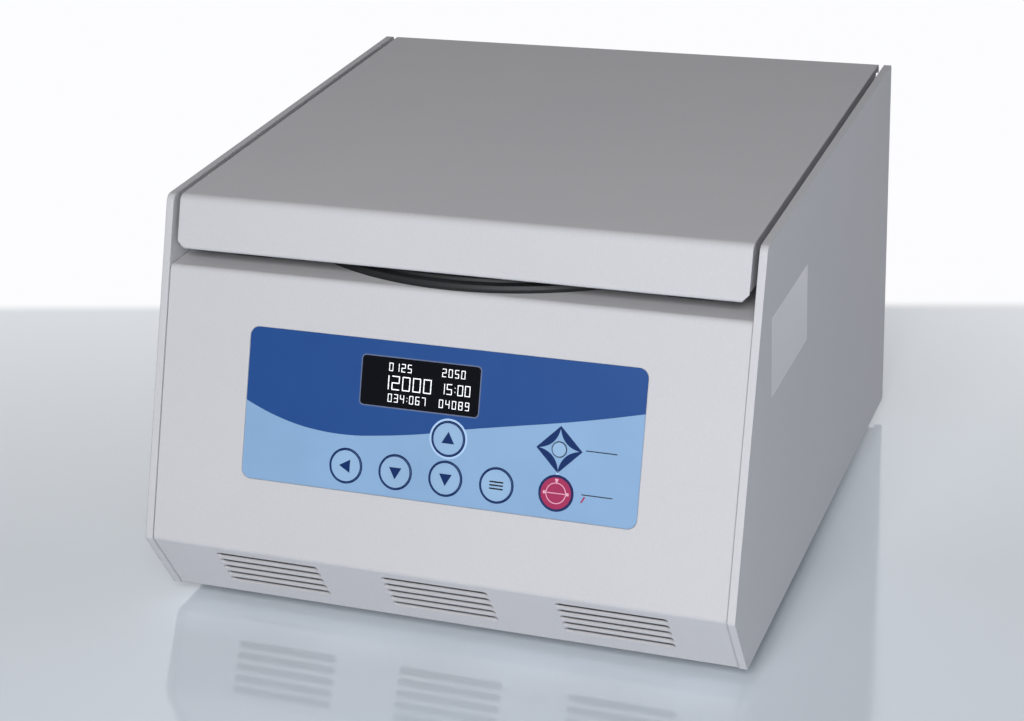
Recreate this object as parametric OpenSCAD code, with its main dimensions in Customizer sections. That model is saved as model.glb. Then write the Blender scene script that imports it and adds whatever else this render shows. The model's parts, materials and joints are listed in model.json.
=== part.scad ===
// Cytocentrifuge: bench instrument with a hinged lid, a chamber and tilting slide holders.
// Front is -Y, right is +X, the feet stand on z = 0 and the origin is under the middle of the case.

/* [Case] */
// Overall width over the side panels
case_w = 320; // [300:1:400]
// Overall depth of the side panels
case_d = 352; // [346:1:430]
// Height of the rear top corner above the bottom edge
case_h = 214.5; // [212:0.5:222]
// Height of the front top corner above the bottom edge
front_top_h = 209; // [206:0.5:214]
// Backward run of the slanted front face
front_run = 62; // [56:1:66]
// Height of the lower chamfer
chamfer_h = 39; // [36:1:46]
// Backward run of the lower chamfer
chamfer_run = 23; // [18:1:28]
// Thickness of the side panels
side_t = 4; // [3:0.5:5]
// Thickness of the folded sheet
sheet_t = 1.5; // [1.2:0.1:1.8]
// Gap between the front sheet and the side panels
shell_gap = 0.3; // [0.2:0.1:0.5]
// Distance that the front sheet and the lid stand behind the panel edges
front_inset = 0.8; // [0.5:0.1:1.5]
// Length along the slanted face up to the deck fold
face_fold = 144.2; // [143:0.1:145]
// Height of the feet below the case
foot_h = 9; // [7:1:14]
// Radius of the feet
foot_r = 11; // [8:0.5:14]

/* [Vents] */
// Length of a vent slot
slot_len = 58; // [40:1:70]
// Height of a vent slot
slot_h = 3.9; // [3:0.1:4]
// Distance between vent slots
slot_pitch = 6.1; // [5.5:0.1:6.5]
// Distance between the groups of slots
vent_pitch = 94; // [80:1:98]

/* [Chamber] */
// Inner radius of the chamber bowl
bowl_r = 122; // [120:1:126]
// Wall of the chamber bowl
bowl_t = 1.5; // [1:0.1:2]
// Depth of the chamber below the deck
bowl_depth = 99.5; // [98:0.5:102]
// Outer radius of the chamber seal
seal_r = 145; // [143:0.5:146]
// Distance of the chamber centre behind the middle of the case
bowl_y = 21.8; // [20:0.2:22]

/* [Lid] */
// Gap between the lid and each side panel
lid_gap = 3.3; // [2:0.1:5]
// Depth of the lid side flanges
lid_flange_h = 22; // [18:1:24]
// Radius of the liner pan
liner_r = 131.5; // [131:0.5:132]
// Radius of the hinge pins
hinge_pin_r = 2.5; // [2:0.1:3]
// Outer radius of the hinge knuckles
knuckle_r = 4.5; // [4.2:0.1:5]
// Length of each hinge
hinge_len = 50; // [30:1:60]
// Distance of each hinge from the middle
hinge_x = 95; // [80:1:105]

/* [Keypad] */
// Width of the keypad overlay
pad_w = 214; // [206:1:220]
// Height of the keypad overlay along the face
pad_h = 79; // [78:1:84]
// Height of the overlay's lower edge along the face
pad_s = 38.7; // [36:0.1:44]
// Radius of the round keys
key_r = 8.4; // [7:0.1:8.8]
// Travel of the keys
key_travel = 0.4; // [0.2:0.1:0.5]
// Width of the display window
window_w = 64; // [60:1:66]
// Height of the display window
window_h = 25; // [24:0.5:26]

/* [Rotor] */
// Radius of the motor shaft
shaft_r = 5; // [4:0.5:6]
// Radius of the rotor plate's rim
rotor_r = 118; // [117:0.5:118.5]
// Radius of the circle through the holder pivots
pivot_r = 103; // [102:0.5:103.5]
// Height of the holder pivots above the rotor plate
pivot_h = 32; // [31:0.5:34]
// Lean of a holder at rest
rest_lean = 15; // [10:1:15]
// Width of a slide holder
holder_w = 34; // [33:0.5:35]
// Width of a glass slide
slide_w = 25.4; // [25:0.1:26]
// Length of a glass slide
slide_len = 76; // [74:0.5:76]
// Radius of the motor housing
motor_r = 42; // [36:1:46]

/* [Hidden] */
$fn = 64;
eps = 0.01;
arc_steps = 6;

// Case outline in the YZ plane
y_front = -case_d / 2;
y_rear = case_d / 2;
low_front = [y_front + chamfer_run, foot_h];
mid_front = [y_front, foot_h + chamfer_h];
top_front = [y_front + front_run, foot_h + front_top_h];
top_rear = [y_rear, foot_h + case_h];
low_rear = [y_rear, foot_h];
face_lean = atan2(front_run, front_top_h - chamfer_h);
chamfer_lean = atan2(chamfer_run, chamfer_h);
lid_slope = atan2(case_h - front_top_h, case_d - front_run);
inner_x = case_w / 2 - side_t;
shell_x = inner_x - shell_gap;
lid_x = inner_x - lid_gap;
deck_z = foot_h + chamfer_h + face_fold * cos(face_lean) + front_inset * sin(face_lean);
base_z = foot_h + sheet_t;
base_top = base_z + sheet_t;
rear_recess = 4;
rear_out = y_rear - rear_recess;
rear_in = rear_out - sheet_t;
rear_top = foot_h + case_h - 16.5;
flange_len = 16;

// Fits
screw_r = 1.45;
screw_hole_r = 1.5;
screw_head_r = 2.8;
screw_head_h = 1.8;
seat_gap = 0.3;
pin_fit = 0.02;
turn_fit = 0.06;

// Chamber and rotor heights
bowl_floor = deck_z - bowl_depth;
bowl_hole_r = bowl_r + bowl_t + 1.5;
bowl_flange_r = 133;
seal_h = 10.2;
seal_top = deck_z + seal_h;
liner_z = seal_top + seat_gap;
hub_r = 20;
plate_z = bowl_floor + 6;
plate_t = 4;
pivot_z = plate_z + plate_t + pivot_h;
clip_t = 1.2;
slide_t = 1;
card_t = 0.5;
funnel_flange_t = 2;
clip_low = 28;
clip_high = 52;
trunnion_r = 2.5;
trunnion_len = 5;
lug_t = 3;
lug_gap = holder_w / 2 + 0.6;

// Motor and base heights
damper_h = 12;
motor_plate_t = 4;
motor_plate_w = 120;
motor_plate_z = base_top + damper_h;
motor_z = motor_plate_z + motor_plate_t;
motor_h = 48;
motor_top = motor_z + motor_h;
nose_r = 11;
boot_r = 15.7;
bearing_r = 13;
bearing_h = 8;
shaft_top = plate_z + 36;

// Lid hinge, latch and stay
hinge_y = y_rear - 8;
hinge_z = top_rear[1] - 7.5;
lid_t = sheet_t;
latch_x = 118;
latch_pivot = [-95, 142];
hook_release = 14;
plunger_travel = 2.3;
striker_y = -100;
striker_t = 2;
striker_low = 168;
crossbar_h = 4;
latch_plate_x = 12.5;
latch_plate_t = 1.5;
solenoid_z = latch_pivot[1] - 12;
stay_x = -143;
stay_base = [150, deck_z + 7.5];
stay_end = [70, deck_z + 21.5];
stay_vec = stay_end - stay_base;
stay_len = norm(stay_vec);
stay_ang = atan2(stay_vec[1], stay_vec[0]);

// Keypad places: [x, height along the face]
key_row = pad_s + 13;
key_step = 27.3;
up_key = [6, key_row + 20.1];
left_key = [6 - 2 * key_step, key_row];
down_key = [6 - key_step, key_row];
right_down_key = [6, key_row];
select_key = [6 + key_step, key_row];
start_key = [64.6, key_row];
program_key = [64.6, key_row + 21.7];
program_r = 3.9;
window_at = [-11.3, pad_s + 58];
recess_depth = 0.9;
overlay_t = 0.5;
overlay_gap = 0.15;
pad_corner = 5;
board_gap = 10;
board_t = 1.6;

// Rear parts
fan_at = [-85, 76];
fan_w = 80;
fan_depth = 20;
fan_r = 37;
inlet_at = [100, 62];
inlet_w = 32;
inlet_h = 62;
rocker_at = [100, 78];
rocker_swing = 7;

// Points of a path with its corners rounded; each corner has its own radius
function unit(v) = v / norm(v);
function corner(a, b, c, r) =
    let (u = unit(a - b), w = unit(c - b), half = acos(u * w) / 2, reach = r / tan(half),
         p = b + u * reach, q = b + w * reach, m = b + unit(u + w) * (r / sin(half)),
         a0 = atan2(p[1] - m[1], p[0] - m[0]), a1 = atan2(q[1] - m[1], q[0] - m[0]),
         turn = a1 - a0 > 180 ? a1 - a0 - 360 : (a1 - a0 < -180 ? a1 - a0 + 360 : a1 - a0))
    [for (i = [0 : arc_steps]) m + r * [cos(a0 + turn * i / arc_steps), sin(a0 + turn * i / arc_steps)]];
function rounded(pts, radii) = let (n = len(pts))
    [for (i = [0 : n - 1]) each radii[i] > 0
        ? corner(pts[(i + n - 1) % n], pts[i], pts[(i + 1) % n], radii[i]) : [pts[i]]];
// Meeting point of two lines, each given by a point and a direction
function meet(p, d, q, e) = p + d * (((q - p)[0] * e[1] - (q - p)[1] * e[0]) / (d[0] * e[1] - d[1] * e[0]));
function face_dir() = unit(top_front - mid_front);
function face_in() = [face_dir()[1], -face_dir()[0]];
function chamfer_dir() = unit(mid_front - low_front);
function chamfer_in() = [chamfer_dir()[1], -chamfer_dir()[0]];
function top_dir() = unit(top_rear - top_front);
function top_in() = [top_dir()[1], -top_dir()[0]];
// Corners of the front sheet at a given depth behind the case outline
function shell_low(d) = meet(low_front + chamfer_in() * d, chamfer_dir(), [0, foot_h + d - front_inset],
    [1, 0]);
function shell_mid(d) = meet(mid_front + chamfer_in() * d, chamfer_dir(), mid_front + face_in() * d,
    face_dir());
function shell_fold(d) = meet(mid_front + face_in() * d, face_dir(), [0, deck_z - d + front_inset], [1, 0]);
// Top corner of the lid apron at a given depth
function lid_fold(d) = meet(top_front + face_in() * d, face_dir(),
    top_front + top_in() * (d - front_inset), top_dir());
function on_line(p, d, s) = p + d * s;

// Extrude a YZ outline along X
module slab(x0, x1) {
    translate([x0, 0, 0]) rotate([90, 0, 90]) linear_extrude(x1 - x0) children();
}
// Local frame on the slanted face: X across, Y up along the face, Z outward
module on_face() {
    translate([0, mid_front[0], mid_front[1]]) rotate([90 - face_lean, 0, 0])
        translate([0, 0, -front_inset]) children();
}
module on_chamfer() {
    translate([0, low_front[0], low_front[1]]) rotate([90 + chamfer_lean, 0, 0])
        translate([0, 0, -front_inset]) children();
}
// Local frame on the underside of the lid top: origin under the top front corner, Y back
module under_lid() {
    translate([0, top_front[0], top_front[1]]) rotate([lid_slope, 0, 0])
        translate([0, 0, -lid_t]) children();
}
module at_bowl(z) {
    translate([0, bowl_y, z]) children();
}
module plate(w, h, t, r) {
    linear_extrude(t) polygon(rounded([[-w / 2, -h / 2], [w / 2, -h / 2], [w / 2, h / 2], [-w / 2, h / 2]],
        [r, r, r, r]));
}
module box(lo, hi) {
    translate(lo) cube(hi - lo);
}
module mirrored() {
    children();
    mirror([1, 0, 0]) children();
}

// Screw places: each entry holds a point and the turn that points the head outward
rear_screw_x = [-140, -20, 50, 140];
side_screw_y = [-120, 0, 140];
rear_screw_z = base_top + 12;
deck_screw_z = deck_z - 10;
lip_screw_x = [-120, 0, 120];
lip_y = low_front[0] + 11;
module case_screw_places() {
    for (x = rear_screw_x) translate([x, rear_out, rear_screw_z]) rotate([-90, 0, 0]) children();
    for (x = [-120, 120]) translate([x, rear_out, deck_screw_z]) rotate([-90, 0, 0]) children();
    for (y = side_screw_y) {
        translate([inner_x - sheet_t, y, base_top + 10]) rotate([0, -90, 0]) children();
        translate([-inner_x + sheet_t, y, base_top + 10]) rotate([0, 90, 0]) children();
    }
    for (x = lip_screw_x) translate([x, lip_y, foot_h]) rotate([180, 0, 0]) children();
}
module screw(length) {
    cylinder(r = screw_head_r, h = screw_head_h, $fn = 32);
    translate([0, 0, -length]) cylinder(r = screw_r, h = length + eps, $fn = 32);
}
screw_len = 4;
module screw_hole() {
    translate([0, 0, -screw_len - 0.5]) cylinder(r = screw_hole_r, h = screw_len + 2, $fn = 32);
}

side_corners = [1.5, 3, 5, 2.5, 2];
module side_panel_outline() {
    polygon(rounded([low_front, mid_front, top_front, top_rear, low_rear], side_corners));
}
module left_side_panel() {
    color("lightgray") difference() {
        slab(-case_w / 2, -inner_x) side_panel_outline();
        case_screw_places() screw_hole();
    }
}
module right_side_panel() {
    color("lightgray") difference() {
        slab(inner_x, case_w / 2) side_panel_outline();
        case_screw_places() screw_hole();
    }
}

key_places = [up_key, left_key, down_key, right_down_key, select_key, start_key];
bend_out = 3.5;
bend_in = 2;
lip_len = 14.5;
module shell_outline() {
    d = front_inset;
    e = front_inset + sheet_t;
    polygon(rounded(
        [[low_front[0] + lip_len, foot_h], shell_low(d), shell_mid(d), shell_fold(d), [rear_in, deck_z],
         [rear_in, deck_z - sheet_t], shell_fold(e), shell_mid(e), shell_low(e),
         [low_front[0] + lip_len, foot_h + sheet_t]],
        [0, 1.5, bend_out, bend_out, 0, 0, bend_in, bend_in, 0.5, 0]));
}
module pad_outline(grow, depth) {
    plate(pad_w + 2 * grow, pad_h + 2 * grow, depth, pad_corner + grow);
}
module pad_middle() {
    translate([0, pad_s + pad_h / 2, 0]) children();
}
module vent_slot() {
    translate([-slot_len / 2 + slot_h / 2, 0, 0]) cylinder(r = slot_h / 2, h = 8, center = true, $fn = 32);
    translate([slot_len / 2 - slot_h / 2, 0, 0]) cylinder(r = slot_h / 2, h = 8, center = true, $fn = 32);
    cube([slot_len - slot_h, slot_h, 8], center = true);
}
vent_low = 12.6;
vent_x = 2;
latch_slot = [24, 24];
module front_deck_shell() {
    color("lightgray") difference() {
        union() {
            slab(-shell_x, shell_x) shell_outline();
            on_face() pad_middle() translate([0, 0, -sheet_t - recess_depth])
                pad_outline(sheet_t, sheet_t + recess_depth - 0.5);
            mirrored() box([shell_x - sheet_t, shell_fold(0)[0] + 14, deck_z - 14],
                [shell_x, rear_in, deck_z - eps]);
            box([-shell_x, rear_in - sheet_t, deck_z - flange_len], [shell_x, rear_in, deck_z - eps]);
        }
        on_face() pad_middle() translate([0, 0, -recess_depth]) pad_outline(0, 6);
        on_face() for (k = key_places) translate([k[0], k[1], -8]) cylinder(r = key_r + 0.6, h = 10);
        on_face() translate([program_key[0], program_key[1], -8]) cylinder(r = program_r + 0.6, h = 10);
        on_face() translate([window_at[0], window_at[1], -8]) plate(window_w - 6, window_h - 6, 10, 1);
        on_chamfer() for (g = [-1 : 1]) for (i = [0 : 4])
            translate([vent_x + g * vent_pitch, vent_low + i * slot_pitch, 0]) vent_slot();
        at_bowl(deck_z - 5) cylinder(r = bowl_hole_r, h = 10, $fn = 128);
        mirrored() translate([latch_x - latch_slot[0] / 2, striker_y - 4, deck_z - 5])
            cube([latch_slot[0], latch_slot[1], 10]);
        case_screw_places() screw_hole();
    }
}

side_flange_h = 20;
module base_plate() {
    color("silver") difference() {
        union() {
            box([-inner_x, low_front[0] + 4, base_z], [inner_x, rear_in, base_top]);
            mirrored() box([inner_x - sheet_t, low_front[0] + 20, base_z],
                [inner_x, rear_in, base_z + side_flange_h]);
            box([-inner_x, rear_in - sheet_t, base_z], [inner_x, rear_in, base_z + side_flange_h]);
        }
        foot_places() translate([0, 0, base_z - 1]) cylinder(r = foot_plug_r + 0.05, h = 4, $fn = 32);
        case_screw_places() screw_hole();
        for (i = [0 : 7]) translate([-100 + 12 * i, 30, base_z - 1]) cube([6, 70, 4]);
    }
}
module rear_panel() {
    color("lightgray") difference() {
        box([-inner_x, rear_in, base_z], [inner_x, rear_out, rear_top]);
        translate([fan_at[0], rear_in - 1, fan_at[1]]) rotate([-90, 0, 0]) cylinder(r = fan_r, h = 4);
        box([inlet_at[0] - inlet_w / 2 + 2.1, rear_in - 1, inlet_at[1] - inlet_h / 2 + 2.1],
            [inlet_at[0] + inlet_w / 2 - 2.1, rear_out + 1, inlet_at[1] + inlet_h / 2 - 2.1]);
        case_screw_places() screw_hole();
        fan_screw_places() screw_hole();
    }
}
module case_screws() {
    color("dimgray") {
        case_screw_places() screw(screw_len);
        fan_screw_places() screw(screw_len);
    }
}
foot_x = case_w / 2 - 25;
foot_y = case_d / 2 - 50;
foot_plug_r = 4;
module foot_places() {
    for (x = [-foot_x, foot_x]) for (y = [-foot_y, foot_y + 26]) translate([x, y, 0]) children();
}
// Each foot is a tapered rubber disc with a plug that snaps through the base plate
module rubber_feet() {
    color([0.05, 0.05, 0.05]) foot_places() {
        cylinder(r1 = foot_r - 1, r2 = foot_r, h = base_z);
        cylinder(r = foot_plug_r, h = base_top + 1, $fn = 32);
        translate([0, 0, base_top]) cylinder(r1 = foot_plug_r + 1, r2 = foot_plug_r - 1, h = 3, $fn = 32);
    }
}

module chamber_bowl() {
    r = bowl_r;
    t = bowl_t;
    color("silver") at_bowl(0) rotate_extrude($fn = 128) polygon(concat(
        [[boot_r + 0.3, bowl_floor - t], [boot_r + 0.3, bowl_floor]],
        corner([0, bowl_floor], [r, bowl_floor], [r, deck_z], 10),
        [[r, deck_z + 1.2], [bowl_flange_r, deck_z + 1.2], [bowl_flange_r, deck_z], [r + t, deck_z]],
        corner([r + t, deck_z], [r + t, bowl_floor - t], [0, bowl_floor - t], 10 + t)));
}
module chamber_seal() {
    r = seal_r;
    z = deck_z;
    color([0.05, 0.05, 0.05]) at_bowl(0) rotate_extrude($fn = 128) polygon([
        [bowl_flange_r + 0.2, z], [r, z], [r + 0.2, z + 1.8], [r - 0.5, z + 3.6], [r - 2.2, z + 4.3],
        [r - 3, z + 4.6], [r - 3.6, z + 6], [r - 5.2, z + 7], [r - 8, z + 7.5], [r - 10, z + 8.2],
        [r - 12.5, z + 9.8], [r - 14, z + seal_h], [r - 15.5, z + seal_h - 0.3],
            [r - 16.5, z + seal_h - 1.8],
        [r - 17, z + 1.5], [bowl_flange_r + 0.2, z + 1.5]]);
}
module shaft_boot() {
    color([0.1, 0.1, 0.1]) at_bowl(0) rotate_extrude() polygon([
        [nose_r + 0.3, bowl_floor - 4], [boot_r, bowl_floor - 4], [boot_r, bowl_floor + 0.2],
        [boot_r + 5, bowl_floor + 0.2], [boot_r + 5, bowl_floor + 2], [nose_r + 2, bowl_floor + 3],
        [nose_r + 0.3, bowl_floor + 2]]);
}
module motor_housing() {
    color("dimgray") at_bowl(0) rotate_extrude() polygon([
        [shaft_r + 2, motor_z + bearing_h + 2], [bearing_r, motor_z + bearing_h + 2], [bearing_r, motor_z],
        [motor_r - 3, motor_z], [motor_r, motor_z + 3], [motor_r, motor_z + 16],
            [motor_r - 1.5, motor_z + 17.5],
        [motor_r - 1.5, motor_top - 12], [motor_r, motor_top - 10.5], [motor_r, motor_top - 3],
        [motor_r - 3, motor_top], [bearing_r + 4, motor_top], [nose_r, motor_top + 2],
        [nose_r, bowl_floor + 1], [shaft_r + 1, bowl_floor + 1], [shaft_r + 1, motor_top - 2],
        [bearing_r, motor_top - 2], [bearing_r, motor_top - 2 - bearing_h],
            [shaft_r + 2, motor_top - 2 - bearing_h]]);
}
module bearing() {
    rotate_extrude() polygon([[shaft_r + turn_fit, 0], [bearing_r - 0.05, 0], [bearing_r - 0.05, bearing_h],
        [bearing_r - 1.6, bearing_h], [bearing_r - 2, bearing_h - 0.5], [shaft_r + 2, bearing_h - 0.5],
        [shaft_r + 1.6, bearing_h], [shaft_r + turn_fit, bearing_h]]);
}
module motor_bearings() {
    color("silver") at_bowl(0) {
        translate([0, 0, motor_z + 0.5]) bearing();
        translate([0, 0, motor_top - 2 - bearing_h]) bearing();
    }
}
module damper_places() {
    reach = motor_plate_w / 2 - 13;
    for (x = [-reach, reach]) for (y = [-reach, reach]) at_bowl(0) translate([x, y, 0]) children();
}
module motor_plate() {
    color("silver") difference() {
        at_bowl(motor_plate_z) plate(motor_plate_w, motor_plate_w, motor_plate_t, 12);
        at_bowl(motor_plate_z - 1) cylinder(r = bearing_r + 4, h = motor_plate_t + 2);
        damper_places() translate([0, 0, motor_plate_z - 1])
            cylinder(r = 3.05, h = motor_plate_t + 2, $fn = 32);
    }
}
module damper_mounts() {
    z = base_top;
    color([0.1, 0.1, 0.1]) damper_places() rotate_extrude($fn = 32) polygon([
        [0, z], [9, z], [9, z + 2], [7.5, z + 4], [7.5, z + damper_h - 4], [9, z + damper_h - 2],
        [9, z + damper_h], [3, z + damper_h], [3, z + damper_h + motor_plate_t],
            [6, z + damper_h + motor_plate_t],
        [6, z + damper_h + motor_plate_t + 3], [0, z + damper_h + motor_plate_t + 3]]);
}

// A hinge barrel along X with its bore
module knuckle(x0, x1, bore) {
    translate([x0, hinge_y, hinge_z]) rotate([0, 90, 0]) difference() {
        cylinder(r = knuckle_r, h = x1 - x0, $fn = 48);
        translate([0, 0, -1]) cylinder(r = bore, h = x1 - x0 + 2, $fn = 48);
    }
}
knuckle_third = hinge_len / 3;
module hinge_base_leaves() {
    color("silver") mirrored() difference() {
        union() {
            for (side = [-1, 1]) {
                x = hinge_x + side * knuckle_third;
                translate([x - knuckle_third / 2, hinge_y, hinge_z]) rotate([0, 90, 0])
                    cylinder(r = knuckle_r, h = knuckle_third, $fn = 48);
                box([x - knuckle_third / 2, rear_in - sheet_t, rear_top - 10],
                    [x + knuckle_third / 2, rear_in, hinge_z - 2]);
            }
            box([hinge_x - hinge_len / 2, rear_in - sheet_t, deck_z + 5],
                [hinge_x + hinge_len / 2, rear_in, rear_top - 2]);
        }
        translate([hinge_x - hinge_len, hinge_y, hinge_z]) rotate([0, 90, 0])
            cylinder(r = hinge_pin_r + pin_fit, h = 2 * hinge_len, $fn = 48);
    }
}
module hinge_pins() {
    color("silver") mirrored() translate([hinge_x - hinge_len / 2 - 1.5, hinge_y, hinge_z])
        rotate([0, 90, 0]) {
        cylinder(r = hinge_pin_r, h = hinge_len + 3, $fn = 48);
        translate([0, 0, -1]) cylinder(r = knuckle_r - 1, h = 2, $fn = 48);
    }
}
module hinge_lid_leaves() {
    half = knuckle_third / 2 - seat_gap;
    leaf_y = hinge_y - top_front[0];
    color("silver") mirrored() difference() {
        union() {
            translate([hinge_x - half, hinge_y, hinge_z]) rotate([0, 90, 0])
                cylinder(r = knuckle_r, h = 2 * half, $fn = 48);
            intersection() {
                under_lid() box([hinge_x - half + 1, leaf_y - 2.5, -6],
                    [hinge_x + half - 1, leaf_y + 2.5, -0.5]);
                box([0, hinge_y - 6, hinge_z + 3.2], [case_w, hinge_y + 6, hinge_z + 20]);
            }
            under_lid() box([hinge_x - hinge_len / 2, leaf_y - 28, -1.8],
                [hinge_x + hinge_len / 2, leaf_y - knuckle_r - 1, -eps]);
            under_lid() box([hinge_x - half + 1, leaf_y - knuckle_r - 2, -1.8],
                [hinge_x + half - 1, leaf_y, -eps]);
        }
        translate([hinge_x - hinge_len, hinge_y, hinge_z]) rotate([0, 90, 0])
            cylinder(r = hinge_pin_r + turn_fit, h = 2 * hinge_len, $fn = 48);
    }
}

module latch_mirror() {
    for (side = [-1, 1]) translate([side * latch_x, 0, 0]) children();
}
module latch_side_outline() {
    polygon([[striker_y - 6, deck_z - sheet_t], [striker_y - 6, latch_pivot[1] - 8],
        [latch_pivot[0] + 2, solenoid_z - 11],
        [latch_pivot[0] + 42, solenoid_z - 11], [latch_pivot[0] + 42, deck_z - sheet_t]]);
}
module latch_brackets() {
    in_x = latch_plate_x;
    out_x = latch_plate_x + latch_plate_t;
    back_y = latch_pivot[0] + 42;
    color("silver") latch_mirror() difference() {
        union() {
            slab(-out_x, -in_x) latch_side_outline();
            slab(in_x, out_x) latch_side_outline();
            box([-out_x, back_y - latch_plate_t, solenoid_z - 11], [out_x, back_y, deck_z - sheet_t]);
            translate([-out_x, latch_pivot[0], latch_pivot[1]]) rotate([0, 90, 0])
                cylinder(r = 3, h = 2 * out_x, $fn = 32);
        }
    }
}
// The hook is drawn released, turned back about its pivot
module hook(bore) {
    difference() {
        slab(-4, 4) translate(latch_pivot) rotate(-hook_release) polygon([
            [-2, -15.5], [3.5, -15.5], [3.5, -8], [6.5, -3], [6.5, 4], [2.4, 14], [1.6, 37], [-2, 39.5],
                [-5, 38.5],
            [-9.3, 34.6], [-9.3, 31], [-2, 31], [-1.8, 14], [-6.5, 4], [-6.5, -3]]);
        translate([-10, latch_pivot[0], latch_pivot[1]]) rotate([0, 90, 0])
            cylinder(r = bore, h = 20, $fn = 32);
    }
}
module latch_hook_left() {
    color("gold") translate([-latch_x, 0, 0]) hook(3 + turn_fit);
}
module latch_hook_right() {
    color("gold") translate([latch_x, 0, 0]) hook(3 + turn_fit);
}
solenoid_y = latch_pivot[0] + 12;
module lock_solenoids() {
    color("dimgray") latch_mirror() difference() {
        box([-latch_plate_x, solenoid_y, solenoid_z - 9], [latch_plate_x, solenoid_y + 28, solenoid_z + 9]);
        translate([0, solenoid_y - 1, solenoid_z]) rotate([-90, 0, 0])
            cylinder(r = 3 + turn_fit, h = 22, $fn = 32);
    }
}
module solenoid_plungers() {
    color("silver") latch_mirror() translate([0, latch_pivot[0] + 3.8 - plunger_travel, solenoid_z])
        rotate([-90, 0, 0])
        cylinder(r = 3, h = 22, $fn = 32);
}
module lid_strikers() {
    w = 9;
    color("silver") latch_mirror() {
        difference() {
            intersection() {
                box([-w, striker_y, striker_low], [w, striker_y + striker_t, top_rear[1]]);
                under_lid() box([-w, -20, -80], [w, 60, -eps]);
            }
            box([-w + 3.5, striker_y - 1, striker_low + crossbar_h],
                [w - 3.5, striker_y + striker_t + 1, top_rear[1] + 1]);
        }
        under_lid() box([-w, striker_y - top_front[0], -2], [w, striker_y - top_front[0] + 14, -eps]);
    }
}

// Lid stay: a bracket on the deck, a cylinder and a rod that reaches the lid's left flange
module at_stay() {
    translate([stay_x, stay_base[0], stay_base[1]]) rotate([0, 90, 0]) children();
}
module stay_bracket() {
    ear_x = stay_x + 6.5;
    color("silver") difference() {
        union() {
            box([ear_x, stay_base[0] - 8, deck_z], [ear_x + 1.5, stay_base[0] + 8, stay_base[1] + 6]);
            box([ear_x, stay_base[0] - 8, deck_z], [ear_x + 14, stay_base[0] + 8, deck_z + 1.5]);
            translate([stay_x - 4, stay_base[0], stay_base[1]]) rotate([0, 90, 0])
                cylinder(r = 2.5, h = 11.5, $fn = 32);
        }
    }
}
module along_stay() {
    translate([stay_x, stay_base[0], stay_base[1]]) rotate([stay_ang, 0, 0]) rotate([-90, 0, 0]) children();
}
tube_end = 60;
module stay_cylinder() {
    color([0.15, 0.15, 0.15]) difference() {
        union() {
            translate([-3, 0, 0]) at_stay() cylinder(r = 5, h = 6, $fn = 32);
            along_stay() translate([0, 0, 4]) cylinder(r = 3, h = 6, $fn = 32);
            along_stay() translate([0, 0, 8]) cylinder(r = 6, h = tube_end - 8, $fn = 48);
        }
        translate([-10, 0, 0]) at_stay() cylinder(r = 2.5 + turn_fit, h = 20, $fn = 32);
        along_stay() translate([0, 0, 12]) cylinder(r = 4.6, h = tube_end - 15, $fn = 48);
        along_stay() translate([0, 0, 20]) cylinder(r = 3 + turn_fit, h = tube_end, $fn = 48);
    }
}
module stay_rod() {
    flange_x = -lid_x + lid_t + seat_gap;
    color("silver") {
        along_stay() translate([0, 0, 16]) cylinder(r = 3, h = stay_len - 16, $fn = 48);
        along_stay() translate([0, 0, 14]) cylinder(r = 4.5, h = 4, $fn = 48);
        translate([stay_x - 3.5, stay_end[0], stay_end[1]]) rotate([0, 90, 0])
            cylinder(r = 5, h = 7, $fn = 32);
        translate([flange_x, stay_end[0], stay_end[1]]) rotate([0, 90, 0])
            cylinder(r = 2.5, h = stay_x - flange_x, $fn = 32);
    }
}

module keypad_overlay() {
    color("royalblue") difference() {
        on_face() pad_middle() translate([0, 0, -recess_depth])
            plate(pad_w - 2 * overlay_gap, pad_h - 2 * overlay_gap, overlay_t, pad_corner);
        on_face() for (k = key_places) translate([k[0], k[1], -4]) cylinder(r = key_r + overlay_gap, h = 8);
        on_face() translate([program_key[0], program_key[1], -4])
            cylinder(r = program_r + overlay_gap, h = 8);
        on_face() translate([window_at[0], window_at[1], -4]) plate(window_w + 0.2, window_h + 0.2, 8, 2);
    }
}
module display_window() {
    color([0.02, 0.02, 0.03]) on_face() translate([window_at[0], window_at[1], -recess_depth])
        plate(window_w, window_h, overlay_t + 0.1, 2);
}
module display_module() {
    color("darkgreen") on_face() translate([window_at[0], window_at[1], 0]) {
        translate([0, 0, -board_gap + 0.0]) plate(86, 35, board_t, 1);
        translate([0, 0, -board_gap + board_t - eps])
            plate(74, 30, board_gap - board_t - recess_depth - sheet_t - 0.1, 1);
    }
}
board_w = 200;
board_low = pad_s - 6;
board_high = window_at[1] - 19;
module control_board() {
    color("green") on_face() difference() {
        union() {
            translate([0, (board_low + board_high) / 2, -board_gap])
                plate(board_w, board_high - board_low, board_t, 2);
            for (k = key_places) translate([k[0] - 3, k[1] - 3, -board_gap + board_t - eps])
                cube([6, 6, 2.6]);
            translate([program_key[0] - 3, program_key[1] - 3, -board_gap + board_t - eps])
                cube([6, 6, 2.6]);
            for (x = [-80, -45, 20]) translate([x, board_low + 8, -board_gap - 5]) cube([22, 12, 5 + eps]);
            for (x = [-96, 96]) for (y = [board_low + 4, board_high - 4])
                translate([x, y, -board_gap + eps])
                    cylinder(r = 2.5, h = board_gap - sheet_t - recess_depth - eps, $fn = 32);
        }
    }
}
power_lo = [-148, -110];
power_hi = [-66, 30];
power_z = base_top + 6;
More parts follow.
